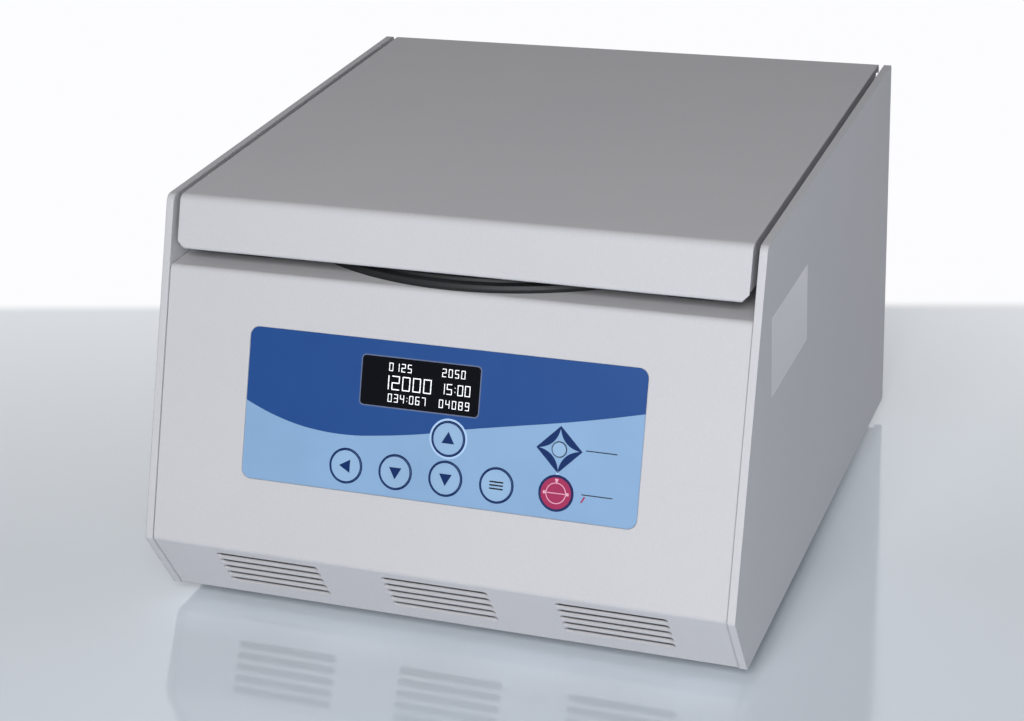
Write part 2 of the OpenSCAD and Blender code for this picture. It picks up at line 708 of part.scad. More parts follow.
module power_board() {
    color("green") {
        box([power_lo[0], power_lo[1], power_z], [power_hi[0], power_hi[1], power_z + board_t]);
        for (x = [power_lo[0] + 5, power_hi[0] - 5]) for (y = [power_lo[1] + 5, power_hi[1] - 5])
            translate([x, y, base_top]) cylinder(r = 3, h = power_z - base_top + eps, $fn = 24);
        box([power_lo[0] + 8, power_lo[1] + 15, power_z],
            [power_lo[0] + 44, power_lo[1] + 50, power_z + 30]);
        for (i = [0 : 2]) translate([power_hi[0] - 16, power_lo[1] + 25 + 24 * i, power_z])
            cylinder(r = 10, h = 32, $fn = 48);
        for (i = [0 : 5]) box([power_lo[0] + 8 + 6 * i, power_hi[1] - 60, power_z],
            [power_lo[0] + 10 + 6 * i, power_hi[1] - 15, power_z + 28]);
        box([power_lo[0] + 8, power_hi[1] - 60, power_z],
            [power_lo[0] + 40, power_hi[1] - 15, power_z + 4]);
    }
}

inlet_depth = 28;
socket_z = inlet_at[1] - 14;
socket_w = 22.5;
socket_h = 16;
socket_depth = 17;
rocker_w = 12;
rocker_half = 9.5;
module power_inlet() {
    x = inlet_at[0];
    z = inlet_at[1];
    pocket = rocker_half + 0.8;
    color([0.08, 0.08, 0.08]) {
        difference() {
            union() {
                box([x - inlet_w / 2, rear_out, z - inlet_h / 2],
                    [x + inlet_w / 2, rear_out + 3, z + inlet_h / 2]);
                box([x - inlet_w / 2 + 2.4, rear_out - inlet_depth, z - inlet_h / 2 + 2.4],
                    [x + inlet_w / 2 - 2.4, rear_out + eps, z + inlet_h / 2 - 2.4]);
            }
            box([x - socket_w / 2, rear_out + 3 - socket_depth, socket_z - socket_h / 2],
                [x + socket_w / 2, rear_out + 4, socket_z + socket_h / 2]);
            box([x - rocker_w / 2 - 0.3, rear_out - 9, rocker_at[1] - pocket],
                [x + rocker_w / 2 + 0.3, rear_out + 4, rocker_at[1] + pocket]);
        }
        for (p = [[-7, -2], [0, 2], [7, -2]])
            box([x + p[0] - 1, rear_out + 2 - socket_depth, socket_z + p[1] - 2],
                [x + p[0] + 1, rear_out - 3, socket_z + p[1] + 2]);
        translate([x - rocker_w / 2 - 1, rear_out - 1, rocker_at[1]]) rotate([0, 90, 0])
            cylinder(r = 1.5, h = rocker_w + 2, $fn = 32);
    }
}
module rocker_switch() {
    color([0.02, 0.02, 0.02]) difference() {
        translate([0, rear_out - 1, rocker_at[1]]) rotate([rocker_swing, 0, 0])
            slab(rocker_at[0] - rocker_w / 2, rocker_at[0] + rocker_w / 2) polygon([
                [-5, -5], [1.8, -rocker_half + 0.4], [3.4, -rocker_half + 0.8], [2.2, 0],
                    [3.4, rocker_half - 0.8],
                [1.8, rocker_half - 0.4], [-5, 5]]);
        translate([rocker_at[0] - 20, rear_out - 1, rocker_at[1]]) rotate([0, 90, 0])
            cylinder(r = 1.5 + turn_fit, h = 40, $fn = 32);
    }
}

fan_hole = 71.5 / 2;
module fan_screw_places() {
    for (x = [-fan_hole, fan_hole]) for (z = [-fan_hole, fan_hole])
        translate([fan_at[0] + x, rear_out, fan_at[1] + z]) rotate([-90, 0, 0]) children();
}
module at_fan() {
    translate([fan_at[0], rear_in, fan_at[1]]) rotate([90, 0, 0]) children();
}
module fan_frame() {
    color([0.1, 0.1, 0.1]) at_fan() difference() {
        union() {
            difference() {
                plate(fan_w, fan_w, fan_depth, 5);
                translate([0, 0, -1]) cylinder(r = fan_r, h = fan_depth + 2);
            }
            translate([0, 0, fan_depth - 3]) cylinder(r = 16, h = 3);
            for (a = [0 : 3]) rotate([0, 0, 45 + 90 * a]) translate([14, -2, fan_depth - 3])
                cube([25, 4, 3]);
            translate([0, 0, 4]) cylinder(r = 1.5, h = fan_depth - 5, $fn = 32);
        }
        for (x = [-fan_hole, fan_hole]) for (y = [-fan_hole, fan_hole])
            translate([x, y, -1]) cylinder(r = screw_hole_r, h = 5, $fn = 32);
    }
}
module fan_impeller() {
    color([0.15, 0.15, 0.15]) at_fan() difference() {
        union() {
            translate([0, 0, 2]) cylinder(r = 15, h = 14);
            intersection() {
                for (a = [0 : 6]) rotate([0, 0, a * 360 / 7]) translate([24, 0, 9]) rotate([38, 0, 0])
                    cube([26, 17, 1.4], center = true);
                translate([0, 0, 2.5]) cylinder(r = fan_r - 1.2, h = 13);
            }
        }
        translate([0, 0, 3]) cylinder(r = 1.5 + turn_fit, h = 20, $fn = 32);
    }
}
module fan_guard() {
    ring = 1;
    color("silver") translate([fan_at[0], rear_out, fan_at[1]]) rotate([-90, 0, 0]) {
        for (r = [12, 20, 28, 36]) translate([0, 0, 1.8]) difference() {
            cylinder(r = r + ring, h = 1.6);
            translate([0, 0, -1]) cylinder(r = r - ring, h = 4);
        }
        for (a = [0, 90]) rotate([0, 0, 45 + a]) translate([-46, -1, 0.4]) cube([92, 2, 1.6]);
        for (x = [-fan_hole, fan_hole]) for (y = [-fan_hole, fan_hole]) translate([x, y, 0]) difference() {
            cylinder(r = 6, h = 2 - eps, $fn = 32);
            translate([0, 0, -1]) cylinder(r = 3.4, h = 4, $fn = 32);
        }
    }
}

module motor_shaft() {
    color("silver") at_bowl(0) {
        translate([0, 0, motor_z + 1]) cylinder(r = shaft_r, h = shaft_top - motor_z - 1);
        translate([0, 0, shaft_top - eps]) cylinder(r = shaft_r - 1, h = 10);
    }
}
rim_t = 118 - 114.8;
module lug_pair() {
    for (side = [-1, 1]) {
        lo = side < 0 ? -lug_gap - lug_t : lug_gap;
        difference() {
            translate([pivot_r - 8, lo, plate_z + 1]) cube([15, lug_t, pivot_z - plate_z + 5]);
            translate([pivot_r, lo - 1, pivot_z]) rotate([-90, 0, 0])
                cylinder(r = trunnion_r + turn_fit, h = lug_t + 2, $fn = 32);
        }
    }
}
module rotor_head() {
    in_rim = rotor_r - rim_t;
    stop_r = pivot_r - 17.4;
    color("silver") difference() {
        union() {
            at_bowl(0) rotate_extrude($fn = 96) polygon([
                [shaft_r + pin_fit, plate_z - 3], [hub_r, plate_z - 3], [hub_r, plate_z],
                    [rotor_r, plate_z],
                [rotor_r, plate_z + 12], [in_rim, plate_z + 12], [in_rim, plate_z + plate_t],
                [stop_r, plate_z + plate_t], [stop_r, plate_z + 10], [stop_r - 4, plate_z + 10],
                [stop_r - 4, plate_z + plate_t], [hub_r + 6, plate_z + plate_t], [hub_r, plate_z + 10],
                [hub_r - 3, shaft_top - 4], [shaft_r + pin_fit, shaft_top - 4]]);
            for (a = [0 : 3]) at_bowl(0) rotate([0, 0, 90 * a]) lug_pair();
        }
        for (a = [0 : 3]) at_bowl(plate_z - 1) rotate([0, 0, 45 + 90 * a]) translate([54, 0, 0])
            cylinder(r = 16, h = 20);
    }
}
module rotor_nut() {
    z = shaft_top - 4;
    color("dimgray") at_bowl(0) difference() {
        union() {
            translate([0, 0, z + 0.1]) cylinder(r = 13, h = 12, $fn = 64);
            translate([0, 0, z + 12]) cylinder(r1 = 13, r2 = 10, h = 6, $fn = 64);
        }
        translate([0, 0, z - 1]) cylinder(r = shaft_r + pin_fit, h = 5.2, $fn = 64);
        translate([0, 0, z - 1]) cylinder(r = shaft_r - 1 + pin_fit, h = 16, $fn = 64);
        for (a = [0 : 11]) rotate([0, 0, 30 * a]) translate([14, 0, z]) cylinder(r = 2, h = 20, $fn = 32);
    }
}

// Frame of a slide holder: X outward along the radius, Z up, origin at the pivot, leaning inward at rest
module at_holder(i) {
    at_bowl(0) rotate([0, 0, 90 * (i - 1)]) translate([pivot_r, 0, pivot_z]) rotate([0, -rest_lean, 0])
        children();
}
back_x = 3;
module slide_clip(i) {
    w = holder_w / 2;
    depth = clip_t + slide_t + card_t + funnel_flange_t + 1.4;
    color("silver") at_holder(i) difference() {
        union() {
            difference() {
                box([back_x - depth, -w, -clip_low], [back_x, w, clip_high]);
                box([back_x - depth - 1, -w + clip_t, -clip_low + clip_t],
                    [back_x - clip_t, w - clip_t, clip_high + 1]);
            }
            for (side = [-1, 1]) translate([0, side * (w + trunnion_len / 2 - eps), 0]) rotate([90, 0, 0])
                cylinder(r = trunnion_r, h = trunnion_len, center = true, $fn = 32);
            for (z = [-clip_low + 10, clip_high - 14]) for (side = [-1, 1])
                translate([0, side * (w - clip_t / 2 - 2), 0])
                    box([back_x - depth, -2.3, z], [back_x - depth + 0.8, 2.3, z + 6]);
        }
        box([back_x - clip_t - 1, -9, -clip_low + 14], [back_x + 1, 9, clip_high - 14]);
    }
}
stack_gap = 0.1;
slide_x = back_x - clip_t - stack_gap;
card_x = slide_x - slide_t - stack_gap;
funnel_x = card_x - card_t - stack_gap;
port_z = -4;
well_r = 5.5;
module glass_slide(i) {
    color([0.7, 0.9, 0.9]) at_holder(i)
        box([slide_x - slide_t, -slide_w / 2, -clip_low + clip_t + stack_gap],
            [slide_x, slide_w / 2, -clip_low + clip_t + stack_gap + slide_len]);
}
module sample_funnel(i) {
    low = -clip_low + clip_t + stack_gap;
    fw = holder_w / 2 - clip_t - 0.3;
    tube_x = funnel_x - funnel_flange_t - 7.5;
    color("white") at_holder(i) {
        difference() {
            box([card_x - card_t, -slide_w / 2, low], [card_x, slide_w / 2, low + 60]);
            translate([card_x - 3, 0, port_z]) rotate([0, 90, 0]) cylinder(r = 3.2, h = 6, $fn = 32);
        }
        difference() {
            union() {
                box([funnel_x - funnel_flange_t, -fw, low], [funnel_x, fw, low + 60]);
                translate([tube_x, 0, port_z - 7]) cylinder(r = 7.3, h = 34, $fn = 48);
                translate([tube_x, 0, port_z + 24]) cylinder(r1 = 7.3, r2 = 9.2, h = 12, $fn = 48);
                box([tube_x, -7.3, port_z - 7], [funnel_x - 1, 7.3, port_z + 14]);
            }
            translate([tube_x, 0, port_z - 4]) cylinder(r = well_r, h = 50, $fn = 48);
            translate([tube_x, 0, port_z + 26]) cylinder(r1 = well_r, r2 = 8.2, h = 10 + eps, $fn = 48);
            translate([tube_x, 0, port_z]) rotate([0, 90, 0]) cylinder(r = 3, h = 30, $fn = 32);
            box([funnel_x + eps, -20, low - 5], [funnel_x + 20, 20, low + 90]);
        }
    }
}
module slide_clip_1() { slide_clip(1); }
module slide_clip_2() { slide_clip(2); }
module slide_clip_3() { slide_clip(3); }
module slide_clip_4() { slide_clip(4); }
module sample_funnel_1() { sample_funnel(1); }
module sample_funnel_2() { sample_funnel(2); }
module sample_funnel_3() { sample_funnel(3); }
module sample_funnel_4() { sample_funnel(4); }
module glass_slide_1() { glass_slide(1); }
module glass_slide_2() { glass_slide(2); }
module glass_slide_3() { glass_slide(3); }
module glass_slide_4() { glass_slide(4); }

apron_low = face_fold + 8.8;
hem_len = 3.5;
lid_bend = 5;
lid_rear = y_rear - 0.5;
lid_rear_drop = 5;
module lid_outline() {
    d = front_inset;
    e = front_inset + lid_t;
    hem = mid_front + face_in() * d + face_dir() * apron_low;
    hem_in = mid_front + face_in() * e + face_dir() * (apron_low + lid_t);
    top_end = meet(top_front, top_dir(), [lid_rear, 0], [0, 1]);
    top_end_in = meet(top_front + top_in() * lid_t, top_dir(), [lid_rear - lid_t, 0], [0, 1]);
    polygon(rounded(
        [hem + [hem_len, 0], hem, lid_fold(d), top_end, top_end - [0, lid_rear_drop],
         top_end - [lid_t, lid_rear_drop], top_end_in, lid_fold(e), [hem_in[0], hem[1] + lid_t],
             hem + [hem_len, lid_t]],
        [0, 1.6, lid_bend, 2, 0, 0, 0.5, lid_bend - lid_t, 0.3, 0]));
}
module lid_flange_outline() {
    d = front_inset;
    drop = lid_flange_h / cos(lid_slope);
    front = mid_front + face_in() * d;
    top_end = meet(top_front, top_dir(), [lid_rear - lid_t - 6, 0], [0, 1]);
    low_start = meet(top_front - [0, drop], top_dir(), front, face_dir());
    polygon(rounded([low_start, lid_fold(d), top_end, top_end - [0, 2], top_end - [6, lid_flange_h]],
        [3, lid_bend, 0, 0, 2]));
}
module lid_shell() {
    corner_cut = 4.5;
    color("lightgray") difference() {
        union() {
            slab(-lid_x, lid_x) lid_outline();
            mirrored() slab(lid_x - lid_t, lid_x) lid_flange_outline();
        }
        mirrored() on_face() translate([lid_x, apron_low, 0]) rotate([0, 0, 45])
            cube([corner_cut * sqrt(2), corner_cut * sqrt(2), 12], center = true);
    }
}
module lid_liner() {
    rim_top = top_rear[1];
    color("silver") difference() {
        at_bowl(0) rotate_extrude($fn = 128) polygon([
            [0, liner_z + 4], [70, liner_z + 4], [76, liner_z], [liner_r, liner_z], [liner_r, rim_top],
            [liner_r - clip_t, rim_top], [liner_r - clip_t, liner_z + clip_t], [76.5, liner_z + clip_t],
            [70.5, liner_z + 4 + clip_t], [0, liner_z + 4 + clip_t]]);
        under_lid() box([-200, -60, -seat_gap], [200, 400, 60]);
    }
}

module key_cap(place, r) {
    on_face() translate([place[0], place[1], 0]) {
        translate([0, 0, -recess_depth]) cylinder(r = r, h = overlay_t + 0.3);
        translate([0, 0, -board_gap + board_t + 2.6 + key_travel + 0.2])
            cylinder(r = 2.5, h = board_gap - board_t - 2.6 - key_travel - 0.2 - recess_depth + eps,
                $fn = 32);
    }
}
module key_up() { color("lightsteelblue") key_cap(up_key, key_r); }
module key_left() { color("lightsteelblue") key_cap(left_key, key_r); }
module key_down() { color("lightsteelblue") key_cap(down_key, key_r); }
module key_right_down() { color("lightsteelblue") key_cap(right_down_key, key_r); }
module key_select() { color("lightsteelblue") key_cap(select_key, key_r); }
module key_start_stop() { color("crimson") key_cap(start_key, key_r); }
module key_program() { color("lightsteelblue") key_cap(program_key, program_r); }

left_side_panel();
right_side_panel();
front_deck_shell();
base_plate();
rear_panel();
case_screws();
rubber_feet();
chamber_bowl();
chamber_seal();
shaft_boot();
motor_housing();
motor_bearings();
motor_plate();
damper_mounts();
hinge_base_leaves();
hinge_pins();
latch_brackets();
lock_solenoids();
stay_bracket();
keypad_overlay();
display_window();
display_module();
control_board();
power_board();
power_inlet();
fan_frame();
fan_guard();
motor_shaft();
rotor_head();
rotor_nut();
slide_clip_1();
slide_clip_2();
slide_clip_3();
slide_clip_4();
sample_funnel_1();
sample_funnel_2();
sample_funnel_3();
sample_funnel_4();
glass_slide_1();
glass_slide_2();
glass_slide_3();
glass_slide_4();
lid_shell();
lid_liner();
hinge_lid_leaves();
lid_strikers();
latch_hook_left();
latch_hook_right();
solenoid_plungers();
stay_cylinder();
stay_rod();
fan_impeller();
rocker_switch();
key_up();
key_left();
key_down();
key_right_down();
key_select();
key_start_stop();
key_program();
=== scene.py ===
import json
import math

import bmesh
import bpy
from mathutils import Matrix, Vector
from mathutils.geometry import delaunay_2d_cdt


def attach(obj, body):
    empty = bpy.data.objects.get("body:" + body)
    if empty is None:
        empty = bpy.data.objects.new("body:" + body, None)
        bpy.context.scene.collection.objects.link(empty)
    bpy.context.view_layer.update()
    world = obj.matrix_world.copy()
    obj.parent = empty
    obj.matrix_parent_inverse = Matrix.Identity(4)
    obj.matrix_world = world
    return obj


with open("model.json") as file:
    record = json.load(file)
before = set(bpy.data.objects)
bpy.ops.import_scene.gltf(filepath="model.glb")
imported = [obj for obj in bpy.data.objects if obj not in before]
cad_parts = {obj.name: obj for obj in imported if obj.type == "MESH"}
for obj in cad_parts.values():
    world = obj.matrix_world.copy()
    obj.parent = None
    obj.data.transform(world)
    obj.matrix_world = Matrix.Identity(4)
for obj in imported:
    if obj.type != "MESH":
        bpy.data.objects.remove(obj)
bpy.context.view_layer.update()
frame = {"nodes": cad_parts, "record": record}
nodes = frame["nodes"]
scene = bpy.context.scene
MM = 0.001

# Slanted front face: lower front corner of the case outline, its run back and rise, and the inset of the
# sheet, in millimetres
FACE_LOW_Y = -176.0
FACE_LOW_Z = 48.0
FACE_RUN = 62.0
FACE_RISE = 170.0
FACE_LEAN = math.atan2(FACE_RUN, FACE_RISE)
FACE_INSET = 0.8
# Heights over the face: the overlay, the keys and the display window, and the thickness of the print
OVERLAY_TOP = -0.4
KEY_TOP = -0.1
WINDOW_TOP = -0.3
INK = 0.03

# Keypad places: x across and s up along the face, in millimetres
PAD_S = 38.7
PAD_W = 214.0
PAD_H = 79.0
KEY_R = 8.4
PROGRAM_R = 3.9
KEY_ROW = PAD_S + 13.0
KEY_MIDDLE_X = 6.0
KEY_PITCH = 27.3
MARK_X = 64.6
KEYS = {
    "key_up": (KEY_MIDDLE_X, KEY_ROW + 20.1),
    "key_left": (KEY_MIDDLE_X - 2 * KEY_PITCH, KEY_ROW),
    "key_down": (KEY_MIDDLE_X - KEY_PITCH, KEY_ROW),
    "key_right_down": (KEY_MIDDLE_X, KEY_ROW),
    "key_select": (KEY_MIDDLE_X + KEY_PITCH, KEY_ROW),
    "key_start_stop": (MARK_X, KEY_ROW),
    "key_program": (MARK_X, KEY_ROW + 21.7),
}
WINDOW_AT = (-11.3, PAD_S + 58.0)
WINDOW_W = 64.0
WINDOW_H = 25.0
WINDOW_FRAME = 1.2
PRINT_GAP = 0.15
PAD_CORNER = 5.0


def srgb(code):
    """Linear colour of a six-digit hex code."""
    out = []
    for i in (0, 2, 4):
        v = int(code[i:i + 2], 16) / 255.0
        out.append(v / 12.92 if v <= 0.04045 else ((v + 0.055) / 1.055) ** 2.4)
    return (out[0], out[1], out[2], 1.0)


def face_point(x, s, out):
    """World point of a place on the slanted face, given in millimetres."""
    depth = out - FACE_INSET
    y = FACE_LOW_Y + s * math.sin(FACE_LEAN) - depth * math.cos(FACE_LEAN)
    z = FACE_LOW_Z + s * math.cos(FACE_LEAN) + depth * math.sin(FACE_LEAN)
    return Vector((x * MM, y * MM, z * MM))


# Materials


class Graph:
    """A small helper for building a node material."""

    def __init__(self, name):
        self.material = bpy.data.materials.new(name)
        self.material.use_nodes = True
        self.tree = self.material.node_tree
        self.tree.nodes.clear()
        self.output = self.add("ShaderNodeOutputMaterial")
        self.shader = self.add("ShaderNodeBsdfPrincipled")
        self.tree.links.new(self.shader.outputs[0], self.output.inputs[0])
        self.coords = self.add("ShaderNodeTexCoord")

    def add(self, kind, **values):
        node = self.tree.nodes.new(kind)
        for key, value in values.items():
            setattr(node, key, value)
        return node

    def link(self, a, b):
        self.tree.links.new(a, b)

    def set(self, **values):
        for key, value in values.items():
            self.shader.inputs[key.replace("_", " ")].default_value = value

    def mapped(self, scale=(1, 1, 1)):
        mapping = self.add("ShaderNodeMapping")
        mapping.inputs["Scale"].default_value = scale
        self.link(self.coords.outputs["Object"], mapping.inputs["Vector"])
        return mapping.outputs["Vector"]

    def noise(self, vector, scale, detail=2.0, rough=0.5):
        node = self.add("ShaderNodeTexNoise")
        node.inputs["Scale"].default_value = scale
        node.inputs["Detail"].default_value = detail
        node.inputs["Roughness"].default_value = rough
        self.link(vector, node.inputs["Vector"])
        return node.outputs["Fac"]

    def ramp(self, value, stops):
        node = self.add("ShaderNodeValToRGB")
        ramp = node.color_ramp
        while len(ramp.elements) < len(stops):
            ramp.elements.new(0.5)
        for element, (place, colour) in zip(ramp.elements, stops):
            element.position = place
            element.color = colour
        self.link(value, node.inputs["Fac"])
        return node.outputs["Color"]

    def grey_ramp(self, value, low, high, a=0.3, b=0.7):
        return self.ramp(value, [(a, (low, low, low, 1)), (b, (high, high, high, 1))])

    def bump(self, height, strength, distance, normal=None):
        node = self.add("ShaderNodeBump")
        node.inputs["Strength"].default_value = strength
        node.inputs["Distance"].default_value = distance
        self.link(height, node.inputs["Height"])
        if normal is not None:
            self.link(normal, node.inputs["Normal"])
        return node.outputs["Normal"]

    def soft_edge(self, radius):
        node = self.add("ShaderNodeBevel", samples=6)
        node.inputs["Radius"].default_value = radius
        return node.outputs["Normal"]

    def math(self, operation, a, b=None):
        node = self.add("ShaderNodeMath", operation=operation)
        for i, value in enumerate((a, b)):
            if value is None:
                continue
            if isinstance(value, (int, float)):
                node.inputs[i].default_value = value
            else:
                self.link(value, node.inputs[i])
        return node.outputs[0]

    def normal(self, socket):
        self.link(socket, self.shader.inputs["Normal"])


def tone(code, factor):
    """A colour made a little lighter or darker."""
    r, g, b, _ = srgb(code)
    return (min(r * factor, 1), min(g * factor, 1), min(b * factor, 1), 1)


def painted(name, code, edge=0.0008, label=None):
    """Powder-coated sheet: fine orange peel, small speckle, soft edges."""
    g = Graph(name)
    vector = g.mapped()
    speckle = g.noise(vector, 2600, 3, 0.65)
    cloud = g.noise(vector, 9, 3, 0.5)
    colour = g.ramp(speckle, [(0.32, tone(code, 0.93)), (0.5, tone(code, 1.0)), (0.7, tone(code, 1.06))])
    shade = g.ramp(cloud, [(0.3, (0.975, 0.975, 0.98, 1)), (0.7, (1, 1, 1, 1))])
    mix = g.add("ShaderNodeMix", data_type="RGBA", blend_type="MULTIPLY")
    mix.inputs["Factor"].default_value = 1.0
    g.link(colour, mix.inputs["A"])
    g.link(shade, mix.inputs["B"])
    base = mix.outputs["Result"]
    rough = g.grey_ramp(speckle, 0.58, 0.72)
    if label is not None:
        base, rough = add_label_film(g, base, rough, label)
    g.link(base, g.shader.inputs["Base Color"])
    g.link(rough, g.shader.inputs["Roughness"])
    g.set(IOR=1.35)
    peel = g.bump(g.noise(vector, 1500, 2, 0.6), 0.34, 0.00012, g.soft_edge(edge))
    g.normal(peel)
    return g.material


# Just inside the right side panel's outer face, the width of the film's cut edge (painted lighter, as a
# highlight), and the film's place
PANEL_FACE_X = 0.1595
FILM_EDGE = 0.00035
LABEL_PLACE = (-0.106, -0.033, 0.137, 0.178)
PAINT = "C6C5C8"


def add_label_film(g, base, rough, label):
    """A bare clear film on the panel: smoother inside, with a thin cut edge painted lighter as a highlight.
    """
    (y0, y1, z0, z1) = label
    split = g.add("ShaderNodeSeparateXYZ")
    g.link(g.coords.outputs["Object"], split.inputs[0])
    half_w = (y1 - y0) / 2
    half_h = (z1 - z0) / 2
    dy = g.math("SUBTRACT", g.math("ABSOLUTE", g.math("SUBTRACT", split.outputs["Y"], (y0 + y1) / 2)), half_w)
    dz = g.math("SUBTRACT", g.math("ABSOLUTE", g.math("SUBTRACT", split.outputs["Z"], (z0 + z1) / 2)), half_h)
    distance = g.math("MAXIMUM", dy, dz)
    outside = g.math("GREATER_THAN", split.outputs["X"], PANEL_FACE_X)
    inside = g.math("MULTIPLY", g.math("LESS_THAN", distance, 0.0), outside)
    edge = g.math("MULTIPLY", g.math("LESS_THAN", g.math("ABSOLUTE", distance), FILM_EDGE), outside)
    film = g.add("ShaderNodeMix", data_type="RGBA")
    g.link(inside, film.inputs["Factor"])
    g.link(base, film.inputs["A"])
    film.inputs["B"].default_value = tone(PAINT, 1.09)
    # Painted highlight: the film's cut edge is painted a lighter grey where light would catch it
    painted_edge_highlight = g.add("ShaderNodeMix", data_type="RGBA")
    g.link(edge, painted_edge_highlight.inputs["Factor"])
    g.link(film.outputs["Result"], painted_edge_highlight.inputs["A"])
    painted_edge_highlight.inputs["B"].default_value = srgb("DCDDE0")
    smooth = g.add("ShaderNodeMix", data_type="RGBA")
    g.link(inside, smooth.inputs["Factor"])
    g.link(rough, smooth.inputs["A"])
    smooth.inputs["B"].default_value = (0.3, 0.3, 0.3, 1)
    return painted_edge_highlight.outputs["Result"], smooth.outputs["Result"]


def metal(name, code, rough, grain=(40, 40, 900), strength=0.06, edge=0.0003):
    """Metal with fine grain along one direction."""
    g = Graph(name)
    vector = g.mapped(scale=grain)
    lines = g.noise(vector, 3, 4, 0.6)
    g.link(g.ramp(lines, [(0.3, tone(code, 0.9)), (0.7, tone(code, 1.06))]), g.shader.inputs["Base Color"])
    g.link(g.grey_ramp(lines, rough * 0.8, rough * 1.25), g.shader.inputs["Roughness"])
    g.set(Metallic=1.0)
    g.normal(g.bump(lines, strength, 0.0001, g.soft_edge(edge)))
    return g.material


def turned(name, code, rough, centre_y, rings=2600.0):
    """Metal spun or turned about a vertical axis: fine rings about the chamber's centre."""
    g = Graph(name)
    split = g.add("ShaderNodeSeparateXYZ")
    g.link(g.coords.outputs["Object"], split.inputs[0])
    y = g.math("SUBTRACT", split.outputs["Y"], centre_y)
    r = g.math("SQRT", g.math("ADD", g.math("POWER", split.outputs["X"], 2.0), g.math("POWER", y, 2.0)))
    joined = g.add("ShaderNodeCombineXYZ")
    g.link(g.math("MULTIPLY", r, rings), joined.inputs[0])
    g.link(g.math("MULTIPLY", split.outputs["Z"], rings * 0.6), joined.inputs[1])
    lines = g.noise(joined.outputs[0], 1.0, 3, 0.6)
    g.link(g.ramp(lines, [(0.3, tone(code, 0.88)), (0.7, tone(code, 1.06))]), g.shader.inputs["Base Color"])
    g.link(g.grey_ramp(lines, rough * 0.8, rough * 1.3), g.shader.inputs["Roughness"])
    g.set(Metallic=1.0)
    g.normal(g.bump(lines, 0.08, 0.0001, g.soft_edge(0.0004)))
    return g.material


def moulded(name, code, rough, grain=1800.0, strength=0.12, edge=0.0003):
    """Moulded plastic or rubber with a fine grain."""
    g = Graph(name)
    vector = g.mapped()
    fine = g.noise(vector, grain, 3, 0.6)
    broad = g.noise(vector, 40, 2, 0.5)
    g.link(g.ramp(broad, [(0.3, tone(code, 0.9)), (0.7, tone(code, 1.1))]), g.shader.inputs["Base Color"])
    g.link(g.grey_ramp(fine, rough * 0.85, min(rough * 1.2, 1.0)), g.shader.inputs["Roughness"])
    g.normal(g.bump(fine, strength, 0.0001, g.soft_edge(edge)))
    return g.material


def film(name, code, rough=0.36):
    """Printed polyester film: a very fine matt grain and hardly any change of colour."""
    g = Graph(name)
    vector = g.mapped()
    fine = g.noise(vector, 5200, 2, 0.6)
    broad = g.noise(vector, 30, 2, 0.5)
    g.link(g.ramp(broad, [(0.3, tone(code, 0.97)), (0.7, tone(code, 1.03))]), g.shader.inputs["Base Color"])
    g.link(g.grey_ramp(fine, rough * 0.85, rough * 1.2), g.shader.inputs["Roughness"])
    g.set(IOR=1.36)
    g.normal(g.bump(fine, 0.05, 0.00004))
    return g.material


def display_glow(name, code, strength):
    g = Graph(name)
    fine = g.noise(g.mapped(), 3000, 2, 0.5)
    g.link(g.ramp(fine, [(0.3, tone(code, 0.93)), (0.7, tone(code, 1.0))]), g.shader.inputs["Base Color"])
    g.set(Roughness=0.4)
    g.shader.inputs["Emission Color"].default_value = srgb(code)
    g.shader.inputs["Emission Strength"].default_value = strength
    return g.material


def clear_glass(name):
    g = Graph(name)
    smear = g.noise(g.mapped(), 120, 3, 0.6)
    g.link(g.grey_ramp(smear, 0.02, 0.08), g.shader.inputs["Roughness"])
    g.link(g.ramp(smear, [(0.3, srgb("EAF4F2")), (0.7, srgb("F4FAF9"))]), g.shader.inputs["Base Color"])
    g.set(IOR=1.5)
    g.shader.inputs["Transmission Weight"].default_value = 0.92
    return g.material


def board(name):
    """Green solder mask with faint copper tracks under it."""
    g = Graph(name)
    vector = g.mapped()
    brick = g.add("ShaderNodeTexBrick")
    brick.inputs["Scale"].default_value = 130
    brick.inputs["Mortar Size"].default_value = 0.035
    brick.inputs["Color1"].default_value = srgb("1D5A38")
    brick.inputs["Color2"].default_value = srgb("19502F")
    brick.inputs["Mortar"].default_value = srgb("2C7A4C")
    g.link(vector, brick.inputs["Vector"])
    g.link(brick.outputs["Color"], g.shader.inputs["Base Color"])
    g.link(g.grey_ramp(g.noise(vector, 300, 2), 0.28, 0.42), g.shader.inputs["Roughness"])
    g.normal(g.bump(brick.outputs["Fac"], 0.2, 0.0001))
    return g.material


BOWL_Y = 0.0218
paint = painted("paint_light_grey", PAINT)
paint_side = painted("paint_light_grey_panel", PAINT, 0.0006, LABEL_PLACE)
zinc = metal("zinc_sheet", "B4B6B8", 0.38)
bright = metal("bright_steel", "C8CACC", 0.22, (300, 300, 300), 0.03)
clip_steel = metal("spring_steel", "C2C4C6", 0.26, (60, 60, 1200), 0.05)
bowl_steel = turned("spun_steel", "C4C6C8", 0.27, BOWL_Y)
rotor_alloy = turned("turned_alloy", "BFC1C5", 0.3, BOWL_Y, 3400.0)
rubber = moulded("black_rubber", "17181A", 0.52, 2200.0, 0.2)
plastic = moulded("black_plastic", "1B1C1E", 0.42)
motor_paint = moulded("motor_paint", "3A3D42", 0.5, 900.0, 0.35, 0.0006)
funnel_plastic = moulded("white_plastic", "DEDFDC", 0.4, 1500.0, 0.08)
glass = clear_glass("slide_glass")
green_board = board("board_green")
film_dark = film("film_dark_blue", "224A88")
film_light = film("film_light_blue", "87A8CC")
film_key = film("film_key_blue", "90B0D0")
film_halo = film("film_halo", "ABC8E8", 0.4)
film_navy = film("film_navy", "08295E")
film_rib = film("film_key_rib", "8FAED2")
